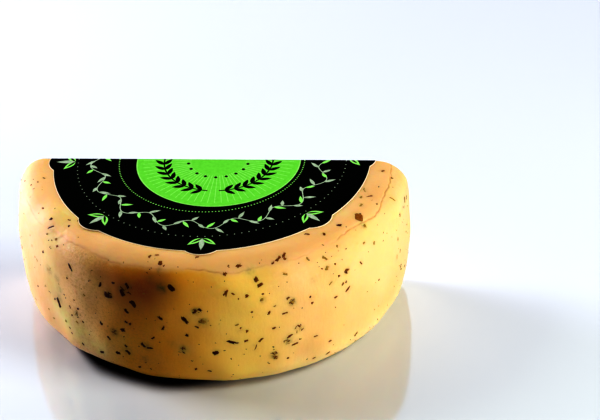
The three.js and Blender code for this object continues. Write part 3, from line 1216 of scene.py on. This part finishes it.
def cut_inset(skin):
    """How far each point of the cut face lies from the cut's outline."""
    strip = skin["rings"][skin["first"]:skin["last"]]
    inner = strip[:, RIND_COLUMNS:]
    outline = np.concatenate([strip[:, 0], strip[:, RIND_COLUMNS - 1], inner[0], inner[-1]])
    inset = np.empty(inner.shape[:2])
    for row, points in enumerate(inner):
        across = points[:, None, 0] - outline[None, :, 0]
        up = points[:, None, 2] - outline[None, :, 2]
        inset[row] = np.sqrt((across ** 2 + up ** 2).min(axis=1))
    return inset


def front_colour(bearing, along, bearings):
    """A colour that lies on the front of the rind, below the fold."""
    start, full, fade, end = (math.radians(b) for b in bearings)
    aside = smoothstep(start, full, bearing) * smoothstep(end, fade, bearing)
    below = smoothstep(*FRONT_EDGE, along - fold_along(bearing))
    return aside * below * smoothstep(0, FRONT_FOOT, along)


BODY_LAYERS = ("band", "shade_gold", "shade_amber", "brown", "foot", "leather", "crease_and_shade", "haze", "smudge", "inward")


def paint_body(body, skin, stains, halos, cut_spots):
    first, last = skin["first"], skin["last"]
    shape = skin["rings"].shape[:2]
    layers = {name: np.zeros(shape) for name in BODY_LAYERS}
    bearing, along = skin["bearing"], skin["along"]
    rind = (slice(first, last), slice(0, RIND_COLUMNS))
    cut = (slice(first, last), slice(RIND_COLUMNS, None))
    above = along - fold_along(bearing)
    layers["band"][rind] = smoothstep(*BAND_EDGE, above)
    layers["band"][last:] = 1
    round_way = bearing * WHEEL_RADIUS
    layers["haze"][rind] = stains_and_shade_over(stains["haze"], round_way, along)
    layers["smudge"][rind] = stains_and_shade_over(stains["smudge"] + halos, round_way, along)
    # Painted shade: brown spots darken the front valley below the fold
    layers["brown"][rind] = stains_and_shade_over(stains["brown"], round_way, along) * smoothstep(*SHADE_BROWN_EDGE, above)
    # Painted shade: amber over the dark front valley below the fold
    layers["shade_amber"][rind] = front_colour(bearing, along, SHADE_AMBER_BEARINGS)
    # Painted shade tint: a warmer, less blue yellow across the front below the fold
    layers["shade_gold"][rind] = front_colour(bearing, along, SHADE_GOLD_BEARINGS)
    layers["leather"][rind] = front_colour(bearing, along, LEATHER_BEARINGS)
    # Painted light: paler low on the right, standing in for light thrown up from the floor
    layers["foot"][rind] = smoothstep(*BOUNCE_LIGHT_EDGE, along) * smoothstep(*np.radians(BOUNCE_LIGHT_BEARINGS), bearing)
    # Darker along the groove: partly the crack's own brown, partly painted shade in the fold
    layers["crease_and_shade"][rind] = fold_strength(bearing) * np.exp(-(above / FOLD_WIDTH) ** 2)
    inner = skin["rings"][cut]
    layers["haze"][cut] = stains_and_shade_over(cut_spots, inner[..., 0], inner[..., 2])
    layers["inward"][cut] = cut_inset(skin)
    for name, values in layers.items():
        add_attribute(body, name, np.append(values.ravel(), [0.0, 0.0]))


def make_cheese(skin, points):
    faces, paint = skin_faces(skin)
    body = make_mesh("cheese_body", points, faces, [rind_material(), paste_material()], paint)
    body.data.set_sharp_from_angle(angle=math.radians(50))
    return body, faces


# The studio

def contact_shade(shader):
    """The floor darkens under the rind's overhang, over a stretch at the front left."""
    near = shader.node("ShaderNodeAmbientOcclusion", samples=16)
    near.inputs["Distance"].default_value = CONTACT_REACH
    across = shader.node("ShaderNodeSeparateXYZ")
    shader.put(across.inputs["Vector"], shader.place())
    opening = shader.plus(
        shader.ramp(across.outputs["X"], *CONTACT_RIGHT, 0.0, CONTACT_OPENING),
        shader.ramp(across.outputs["X"], *CONTACT_LEFT, CONTACT_OPENING, 0.0),
    )
    return shader.ramp(shader.plus(near.outputs["AO"], opening), *CONTACT_RANGE, 1.0, 0.0)


def make_floor():
    shader = Shader("floor")
    colour = shader.mix(shader.noise(300, 1.0), linear(218, 223, 230), linear(222, 227, 234))
    colour = shader.mix(contact_shade(shader), colour, linear(20, 18, 14))
    material = shader.finish(colour, FLOOR_ROUGHNESS, Metallic=FLOOR_METALLIC)
    half = FLOOR_SIZE / 2
    mesh = bpy.data.meshes.new("floor")
    corners = [(-half, -half), (half, -half), (half, half), (-half, half)]
    mesh.from_pydata([(x, y, -FLOOR_BELOW) for x, y in corners], [], [[0, 1, 2, 3]])
    mesh.materials.append(material)
    floor = add_object("floor", mesh)


def softbox(name, bearing, elevation, distance, size, power, colour):
    """A square light that faces the cheese, at a bearing from the front towards +X."""
    a, e = math.radians(bearing), math.radians(elevation)
    away = Vector((math.sin(a) * math.cos(e), -math.cos(a) * math.cos(e), math.sin(e)))
    data = bpy.data.lights.new(name, "AREA")
    data.size = size
    data.energy = power
    data.color = colour
    light = add_object(name, data)
    light.location = away * distance
    light.rotation_mode = "QUATERNION"
    light.rotation_quaternion = away.to_track_quat("Z", "Y")


def make_studio():
    make_floor()
    for name, light in LIGHTS.items():
        softbox(name, *light)
    world = bpy.data.worlds.new("studio")
    world.use_nodes = True
    background = world.node_tree.nodes["Background"]
    background.inputs["Color"].default_value = WORLD_COLOUR
    background.inputs["Strength"].default_value = WORLD_STRENGTH
    bpy.context.scene.world = world
    view = bpy.context.scene.view_settings
    view.view_transform = "Standard"
    view.look = "Very High Contrast"
    view.gamma = VIEW_GAMMA


skin = body_skin()
points = skin_vertices(skin)
AXIS = place_axis(points)

make_camera()
make_studio()

body, body_faces = make_cheese(skin, points)
tree = BVHTree.FromPolygons(points.tolist(), body_faces)
bold_bits = bold_herbs(tree)
rind_bits = bold_bits + tuft_herbs(tree) + small_herbs(bold_bits) + side_herbs()
cut_bits = scattered_cut_herbs()
rind_spots = {
    "haze": rind_stains_and_shade(tree, HAZES),
    # Painted shade: brown spots over the dark front valley
    "brown": rind_stains_and_shade(tree, PAINTED_SHADE_SPOTS),
    "smudge": rind_stains_and_shade(tree, SMUDGES),
}
paint_body(body, skin, rind_spots, herb_halos(rind_bits), cut_stains(cut_bits))
rind_herbs = make_herbs("rind_herbs", rind_bits, on_rind, False, HERB_COLOURS)
cut_herbs = make_herbs("cut_herbs", cut_bits, on_cut, True, CUT_HERB_COLOURS)
label = make_label()

for piece in (body, rind_herbs, cut_herbs, label):
    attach(piece, "root")
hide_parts("cheese")
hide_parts("label")
